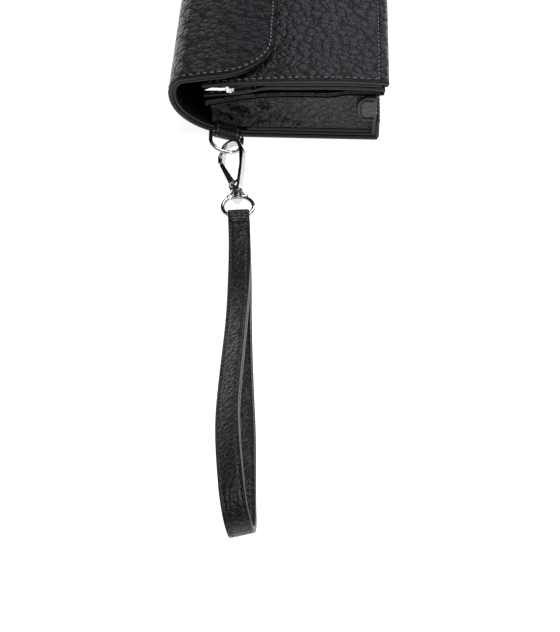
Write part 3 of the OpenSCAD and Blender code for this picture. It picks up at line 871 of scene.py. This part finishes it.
def end_tab(side):
    """The strip's end, lapped over the gusset, with a lighter rim band and a channel inside it."""

    def P(s, z, d):
        # s runs from 0 at the rounded edge to 1 at the strip
        x0 = tab_left(z)
        x = x0 + (TAB_ROOT - x0) * s
        e = min((s * (TAB_ROOT - x0)), 23.3 - z, z - TAB_LOW)
        channel = 0.8 * math.exp(-((e - 1.6) / 0.38) ** 2) * (1 - between(0.8, 0.92, s))
        puff = 0.34 * between(0, 0.5, e) - channel
        wave = 0.1 * noise.noise(Vector((x / 3.0, z / 3.0, side)))
        return (x, side * (95.25 + puff + wave - d), z)

    zs = graded(10.95, 23.2, 0.5, near=(0.0, 0.2, 0.5, 0.9, 1.2, 1.4, 1.6, 1.8, 2.1, 2.5))
    ss = [0, 0.03, 0.07, 0.12, 0.17, 0.2, 0.23, 0.27, 0.33, 0.42, 0.52, 0.64, 0.76, 0.88, 0.95, 1.0]
    # the tab's face wears the lighter copy of the outer leather, painted light
    ob = shell(f"end_tab_{'near' if side < 0 else 'far'}", P, [[(s, z) for z in zs] for s in ss], 1.0,
               [TAB_LIT_COPY, EDGE_LIGHT, SOFT], 0.02)
    # faces along the tab's rounded edge and ends take the lighter strap edge colour
    for face in ob.data.polygons:
        x, z = face.center.x / MM, face.center.z / MM
        from_edge = min(x - tab_left(z), 23.4 - z, z - TAB_LOW)
        if face.material_index == 0 and from_edge < 1.25 and x < 43.2:
            face.material_index = 1
    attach(ob, "wallet")


strip_body()
end_tab(-1)
end_tab(1)
for z, tag in ((12.6, "low"), (21.0, "high")):
    stitches(f"strip_stitching_{tag}", on_strip, [(z, y) for y in span(-93, 93, 60)], "wallet")


# ---------- inside the back compartment ----------
def card_panel():
    outer, inner = [], []
    for x in span(42.2, BACK_END, 30)[:-1]:
        outer.append((x, CARD_TOP))
        inner.append((x, CARD_UNDER))
    for a in span(0, 35, 14):
        outer.append(spine_point(a, CARD_TOP))
        inner.append(spine_point(a, CARD_UNDER))
    path = Path(outer, inner, 1.48)
    rows = []
    for s in graded(0, path.length, 1.6):
        # cut back at one end, where the ring tab passes
        cut = between(-13.0, -14.6, path.at(s, 0)[0])
        rows.append([(s, y + 8.4 * cut * (94 - y) / 188) for y in graded(-94, 94, 4.2)])
    ob = shell("card_panel_layer", path.point, rows, 1.48, LINED, 0.3)
    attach(ob, "wallet")
    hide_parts("card_panel")


card_panel()


def card_pocket(index, node):
    x0 = -8 + 11 * index
    z0 = CARD_TOP + 0.8 * index

    def P(s, y, d):
        # the mouth of each pocket dips a little in the middle
        dip = 1.6 * math.exp(-(y / 22.0) ** 2) * max(0.0, 1 - (s - x0) / 14)
        return (s + dip, y, z0 + 0.78 - d * 0.97)

    seam = x0 + 1.8
    rows = [[(x, y) for y in graded(-87, 87, 3.5)] for x in graded(x0, 40.3, 3.0)]
    ob = shell(f"card_pocket_{index + 1}", P, rows, 0.78, PLAIN_HIDE, 0.25,
               lambda s, y: 0.22 * math.exp(-((s - seam) / 0.35) ** 2))
    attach(ob, "wallet")
    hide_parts(node)
    stitches(f"card_pocket_stitching_{index + 1}", P, [(seam, y) for y in span(-85, 85, 60)], "wallet",
             lift=-0.12)


for index, node in enumerate(("card_slot_back", "card_slot_middle", "card_slot_front")):
    card_pocket(index, node)


# ---------- zip ----------
TAPE_T = 0.4
TEETH_H = 0.95  # height of one row of teeth
ROW_GAP = 0.4  # between the two rows


def tape(name, top_of, node):
    path = flat_path(top_of, lambda x: top_of(x) - TAPE_T, -20.1, -10.6, TAPE_T, n=30)
    rows = sweep_rows(span(0, path.length, 22), -94.5, 90.9, 3.0)
    ob = shell(name, path.point, rows, 0.39, [TAPE, TAPE, TAPE], 0.08)
    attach(ob, "front_section")
    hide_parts(node)


def tape_share(x):
    return between(-18.0, -13.0, x)


def upper_tape(x):
    low = ZIP_Z + ROW_GAP / 2 + TEETH_H + TAPE_T
    return low + (lining_under(x) - low) * tape_share(x)


def lower_tape(x):
    return max(ZIP_Z - ROW_GAP / 2 - TEETH_H, rear_top(x) + TAPE_T)


tape("zip_tape_upper_weave", upper_tape, "zip_tape_upper")
tape("zip_tape_lower_weave", lower_tape, "zip_tape_lower")


# ---------- ring tab: a strip of hide folded round the D-ring's bar ----------
def turned(rx, ry, rz):
    """A rotation by three angles in degrees."""
    return Euler((math.radians(rx), math.radians(ry), math.radians(rz))).to_matrix().to_4x4()


def tab_matrix():
    return Matrix.Translation((-21.3, -HALF, 5.4)) @ turned(0, 15, 0)


TAB_T = 1.2
BAR_Y = -5.2  # the D-ring's bar, from the wallet's end


def tab_leg(y):
    """Outer and inner height of one of the tab's legs, which spread as they near the bar."""
    spread = between(BAR_Y + 3.2, BAR_Y + 0.6, y)
    return 1.22 + (2.24 * 0.92 - 1.22) * spread, 0.03 + (0.93 - 0.03) * spread * 0.9


def ring_tab():
    m = tab_matrix()
    r_out, r_in = 2.24, 1.03
    outer, inner = [], []
    for y in span(8.8, BAR_Y + 0.9, 16):
        high, low = tab_leg(y)
        outer.append((y, high))
        inner.append((y, low))
    for a in span(70, 290, 28):
        w = math.radians(a)
        outer.append((BAR_Y + r_out * math.cos(w), r_out * math.sin(w)))
        inner.append((BAR_Y + r_in * math.cos(w), r_in * math.sin(w)))
    for y in span(BAR_Y + 0.9, 8.8, 16):
        high, low = tab_leg(y)
        outer.append((y, -high))
        inner.append((y, -low))
    path = Path(outer, inner, TAB_T)

    def P(s, x, d):
        y, z = path.at(s, d)
        return tuple(m @ Vector((x, y, z)))

    def dent(s, x):
        e = 5.9 - abs(x)
        channel = 0.2 * math.exp(-((e - 1.5) / 0.35) ** 2)
        return 0.25 * (1 - between(0, 1.0, e)) + channel + sag(s, x, 3.0, 0.12)

    half = [0.7, 2, 3.3, 3.9, 4.2, 4.4, 4.6, 4.9, 5.3, 5.65, 5.9]
    xs = [-x for x in reversed(half)] + half
    ob = shell("ring_tab_fold", P, [[(s, x) for x in xs] for s in span(0, path.length, 90)], TAB_T,
               PLAIN_HIDE, 0.25, dent)
    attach(ob, "wallet")
    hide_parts("ring_tab")
    for side in (-1, 1):
        line = [(s, side * 4.4) for s in span(9.2, path.length - 9.2, 40)]
        stitches(f"ring_tab_stitching_{'a' if side < 0 else 'b'}", lambda s, x, d: P(s, x, d + 0.12),
                 line, "wallet", pitch=2.3, length=1.7, r=0.24)


ring_tab()


# ---------- rings: smooth wire in place of the faceted drawing ----------
def d_ring():
    """A straight bar with small corners, two short legs and a half circle."""
    half, corner, drop, r = 6.2, 0.8, -5.2, 7
    m = tab_matrix() @ Matrix.Translation((0, BAR_Y, 0)) @ turned(1, 0, 0)
    pts = [(x, 0, 0) for x in span(-half, half, 10)]
    for a in span(0, 90, 6)[1:-1]:
        w = math.radians(a)
        pts.append((half + corner * math.sin(w), -corner + corner * math.cos(w), 0))
    pts += [(r, y, 0) for y in span(-corner, drop, 6)]
    for a in span(0, 180, 48)[1:-1]:
        w = math.radians(a)
        pts.append((r * math.cos(w), drop - r * math.sin(w), 0))
    pts += [(-r, y, 0) for y in span(drop, -corner, 6)]
    for a in span(90, 0, 6)[1:-1]:
        w = math.radians(a)
        pts.append((-half - corner * math.sin(w), -corner + corner * math.cos(w), 0))
    ob = tube("d_ring_wire", [tuple(m @ Vector(p)) for p in pts], 0.95, [NICKEL_WIRE], sides=24)
    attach(ob, "tab_ring")
    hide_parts("d_ring")


d_ring()


def hook_matrix(roll):
    """The hook's place and its three turns; roll is about its own length."""
    place_at = Matrix.Translation((-14.6, -139.6, 4.2))
    return place_at @ turned(0, 0, 5.5) @ turned(2, 0, 0) @ turned(0, roll, 0)


def lathe(name, profile, m, mats, sides=40):
    """A turned piece: profile is (radius, height) pairs round the local z axis, carried to its place by m."""
    verts, faces = [], []
    for r, h in profile:
        for c in range(sides):
            w = 2 * math.pi * c / sides
            verts.append(tuple(m @ Vector((r * math.cos(w), r * math.sin(w), h))))
    n = len(profile)
    for i in range(n - 1):
        for c in range(sides):
            a, b = i * sides + c, i * sides + (c + 1) % sides
            faces.append((a, b, b + sides, a + sides))
    faces.append(tuple(range(sides)))
    faces.append(tuple((n - 1) * sides + c for c in range(sides - 1, -1, -1)))
    return make(name, verts, faces, mats)


def gate_rivet():
    m = hook_matrix(-28) @ Matrix.Translation((-0.7, 4.8, 0))
    head = [(0.28, 2.16), (0.34, 2.26), (0.7, 2.24), (1.15, 2.13), (1.55, 1.95), (1.76, 1.75), (1.8, 1.58)]
    profile = [(0.28, 2.06), *head, (1.0, 1.56)]
    profile += [(r, -h) for r, h in reversed(profile)]
    ob = lathe("gate_rivet_domed", profile, m, [NICKEL_WIRE])
    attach(ob, "hook")
    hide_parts("gate_rivet")


gate_rivet()


# ---------- strap ----------
BAR = Vector((-13.31, -153.03, 3.73))
STRAP_T, LAYER_T = 2.3, 1.15
STRAP_HALF = 4.5  # half the strap's width
STRAP_LEN, GAP = 174.0, 16.5
TURN_REACH = GAP / 2 + 4  # how far the loop's far turn stands out
LOOP_START, BEND_START = 7.1, STRAP_LEN - TURN_REACH
LEG = 0.44  # the share of the band that each leg takes
BAND_SCALE = 400.0


def loop_mid(t):
    """The middle between the loop's two legs, t mm from the bar."""
    x = BAR.x + 0.0963 * t - 0.000819 * t * t + 0.00000338 * t ** 3
    z = BAR.z - 0.2 + 4.6 * between(20, 100, t) + 2 * between(70, 165, t)
    return Vector((x, BAR.y - t * 0.997, z))


def loop_roll(t):
    return math.radians(26 * between(12, 75, t) - 13 * between(115, 170, t))


def loop_yaw(t):
    return math.atan(0.0963 - 0.001638 * t + 0.00001014 * t * t)


def leg_gap(t):
    return STRAP_T + 0.1 + (GAP - STRAP_T - 0.1) * between(50, 160, t)


def loop_place(u):
    """Distance from the bar, and height over the middle, at a share u of the band."""
    if u < LEG:
        t = LOOP_START + (BEND_START - LOOP_START) * u / LEG
        return t, leg_gap(t) / 2
    if u > 1 - LEG:
        t = LOOP_START + (BEND_START - LOOP_START) * (1 - u) / LEG
        return t, -leg_gap(t) / 2
    turn = math.radians((u - LEG) / (1 - 2 * LEG) * 180)
    return BEND_START + TURN_REACH * math.sin(turn), leg_gap(BEND_START) / 2 * math.cos(turn)


def loop_point(u, across, depth):
    p = loop_place(u)
    q0, q1 = loop_place(max(0, u - 0.002)), loop_place(min(1, u + 0.002))
    along, rise = q1[0] - q0[0], q1[1] - q0[1]
    n = math.hypot(along, rise)
    t, h = p[0] + depth * rise / n, p[1] - depth * along / n
    m, roll, yaw = loop_mid(t), loop_roll(t), loop_yaw(t)
    x = m.x + across * math.cos(roll) * math.cos(yaw) - h * math.sin(roll)
    y = m.y + across * math.cos(roll) * math.sin(yaw)
    z = m.z + across * math.sin(roll) + h * math.cos(roll)
    return (x, y, z)


ACROSS = [1.2, 2.3, 2.7, 2.95, 3.15, 3.35, 3.6, 4.0, 4.3, STRAP_HALF]
STRAP_XS = [-x for x in reversed(ACROSS)] + [0] + ACROSS


def strap_us():
    return span(0, LEG, 120) + span(LEG, 1 - LEG, 60)[1:] + span(1 - LEG, 1.0, 120)[1:]


def band_layer(name, d_outer, d_inner, mats, node, crown):
    """One of the strap's two leathers, swept round the whole loop."""
    sign = 1 if d_inner > d_outer else -1
    t = abs(d_inner - d_outer)
    rows = [[(u * BAND_SCALE, x) for x in STRAP_XS] for u in strap_us()]

    def P(s, x, d):
        return loop_point(s / BAND_SCALE, x, d_outer + sign * d)

    def dent(s, x):
        e = STRAP_HALF - abs(x)
        channel = 0.34 * math.exp(-((e - 1.35) / 0.34) ** 2)
        return 0.25 * (1 - between(0, 0.6, e)) + channel + sag(s, x, 9.0, crown, 2.0)

    ob = shell(name, P, rows, t, mats, 0.22, dent)
    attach(ob, "strap")
    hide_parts(node)
    return lambda s, x, d: P(s, x, d + dent(s, x) - 0.05)


on_outer = band_layer("strap_outer_band", -LAYER_T, 0.0, [STRAP, EDGE_LIGHT, SOFT], "strap_outer", 0.12)
on_inner = band_layer("strap_inner_band", LAYER_T, 0.02, [CRINKLE, EDGE_LIGHT, SOFT], "strap_lining",
                      0.25)
for side, tag in ((-1, "a"), (1, "b")):
    line = [(s, side * 3.15) for s in span(1.5, BAND_SCALE - 1.5, 400)]
    stitches(f"strap_stitching_{tag}", on_outer, line, "strap", pitch=2.7, length=2.0, r=0.27,
             material=THREAD_DARK)
    stitches(f"strap_inner_stitching_{tag}", on_inner, line, "strap", pitch=2.7, length=2.0, r=0.25,
             material=THREAD_DARK)


def strap_fold():
    m = hook_matrix(0) @ Matrix.Translation((0, -13.5, 0))
    ro, ri = 2.18, 1.06
    outer, inner = [], []
    for y in span(-7.05, -0.9, 14):
        k = between(-4.4, -0.7, y)
        outer.append((y, 2.33 - 0.3 * k))
        inner.append((y, 0.04 + 0.9 * between(-3.2, -0.7, y)))
    for a in span(110, -110, 28):
        w = math.radians(a)
        outer.append((ro * math.cos(w), ro * math.sin(w)))
        inner.append((ri * math.cos(w), ri * math.sin(w)))
    for y in span(-0.9, -7.05, 14):
        k = between(-4.4, -0.7, y)
        outer.append((y, -2.33 + 0.3 * k))
        inner.append((y, -0.04 - 0.9 * between(-3.2, -0.7, y)))
    path = Path(outer, inner, 1.12)

    def P(s, x, d):
        y, z = path.at(s, d)
        return tuple(m @ Vector((x, y, z)))

    def dent(s, x):
        e = STRAP_HALF - abs(x)
        return 0.25 * (1 - between(0, 0.9, e)) + sag(s, x, 3.0, 0.1, 5.0)

    ob = shell("strap_fold_band", P, [[(s, x) for x in STRAP_XS] for s in span(0, path.length, 90)], 1.12,
               [STRAP, EDGE_LIGHT, SOFT], 0.22, dent)
    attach(ob, "strap")
    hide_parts("strap_fold")
    for k, s0 in enumerate((2.4, 4.3)):
        for face, s in (("top", s0), ("under", path.length - s0)):
            stitches(f"fold_stitching_{face}_{k + 1}", lambda s, x, d: P(s, x, d + 0.05),
                     [(s, x) for x in span(-3.4, 3.4, 12)], "strap", pitch=2.2, length=1.6, r=0.26)


strap_fold()


# ---------- CAD nodes that stay, with their finishes ----------
KEEP = {
    "hook_frame": NICKEL, "gate": NICKEL, "swivel_post": NICKEL, "swivel_ring": NICKEL,
    "gate_spring": STEEL, "snap_stud": CHROME, "snap_socket": CHROME, "snap_stud_washer": STEEL,
    "snap_magnet": STEEL, "snap_socket_washer": STEEL, "zip_teeth_upper": TEETH,
    "zip_teeth_lower": TEETH, "zip_stops": TEETH, "zip_slider": CHROME, "zip_pull": CHROME,
    "back_stiffener": BOARD,
}
for name, material in KEEP.items():
    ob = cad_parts[name]
    ob.data.materials.clear()
    ob.data.materials.append(material)


# ---------- stage ----------
def floor():
    half = 3.0
    low = cad_box[0][2] - 0.0003
    m, nt, bsdf = new_material("floor_paper")
    tc = nt.nodes.new("ShaderNodeTexCoord")
    n = add(nt, "ShaderNodeTexNoise", Scale=9.0, Detail=4.0)
    nt.links.new(tc.outputs["Object"], n.inputs["Vector"])
    nt.links.new(ramp(nt, n.outputs["Fac"], [(0.3, (0.93, 0.93, 0.93)), (0.7, (0.96, 0.96, 0.96))]),
                 bsdf.inputs["Base Color"])
    bsdf.inputs["Roughness"].default_value = 0.9
    bsdf.inputs["Specular IOR Level"].default_value = 0.1
    bsdf.inputs["Emission Color"].default_value = (1, 1, 1, 1)
    bsdf.inputs["Emission Strength"].default_value = 0.9
    me = bpy.data.meshes.new("floor")
    me.from_pydata([(-half, -half, low), (half, -half, low), (half, half, low), (-half, half, low)], [],
                   [(0, 1, 2, 3)])
    me.materials.append(m)
    ob = bpy.data.objects.new("floor", me)
    bpy.context.scene.collection.objects.link(ob)
    ob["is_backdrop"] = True


floor()


def area(name, place_at, target, size, power, size_y=None):
    light = bpy.data.lights.new(name, "AREA")
    light.energy = power
    light.size = size
    if size_y:
        light.shape = "RECTANGLE"
        light.size_y = size_y
    ob = bpy.data.objects.new(name, light)
    ob.location = place_at
    ob.rotation_euler = (Vector(target) - Vector(place_at)).to_track_quat("-Z", "Y").to_euler()
    bpy.context.scene.collection.objects.link(ob)


area("key", (0.4, 0.62, 1.0), (0, -0.1, 0), 0.4, 6.5, 0.6)
area("fill", (0.9, -0.5, 0.9), (0, -0.1, 0), 0.35, 4)
area("top", (0.1, -0.15, 1.5), (0, -0.1, 0), 0.9, 9)

bpy.context.scene.view_settings.view_transform = "Standard"
world = bpy.data.worlds.new("studio")
bpy.context.scene.world = world
world.use_nodes = True
nt = world.node_tree
background = nt.nodes["Background"]
tc = nt.nodes.new("ShaderNodeTexCoord")
sep = nt.nodes.new("ShaderNodeSeparateXYZ")
nt.links.new(tc.outputs["Generated"], sep.inputs[0])
sky = ramp(nt, sep.outputs["Z"],
           [(0.0, (1.0,)), (0.16, (1.0,)), (0.32, (0.07,)), (0.8, (0.07,)), (0.95, (0.8,))])
sides = ramp(nt, mathn(nt, "ADD", mathn(nt, "MULTIPLY", sep.outputs["X"], 0.5), 0.5),
             [(0.0, (0.4, 0.39, 0.45)), (0.45, (0.6, 0.585, 0.665)), (1.0, (1.0, 0.975, 1.09))])
studio = nt.nodes.new("ShaderNodeMix")
studio.data_type = "RGBA"
studio.blend_type = "MULTIPLY"
studio.inputs[0].default_value = 1.0
nt.links.new(sky, studio.inputs[6])
nt.links.new(sides, studio.inputs[7])
nt.links.new(studio.outputs[2], background.inputs["Color"])
background.inputs["Strength"].default_value = 0.9

camera = bpy.data.cameras.new("camera")
camera.lens = 92.6
camera.sensor_width = 36
camera.sensor_height = 36
camera.sensor_fit = "VERTICAL"
cam = bpy.data.objects.new("camera", camera)
cam.location = (0.02232, -0.67694, 0.4352)
cam.rotation_euler = (math.radians(47), 0, math.radians(2))
bpy.context.scene.collection.objects.link(cam)
bpy.context.scene.camera = cam


def plain(box):
    return [[float(c) for c in corner] for corner in box] if hasattr(box[0], "__len__") else [float(c) for c in box]


{"cad": plain(cad_box), "visual": plain(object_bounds())}
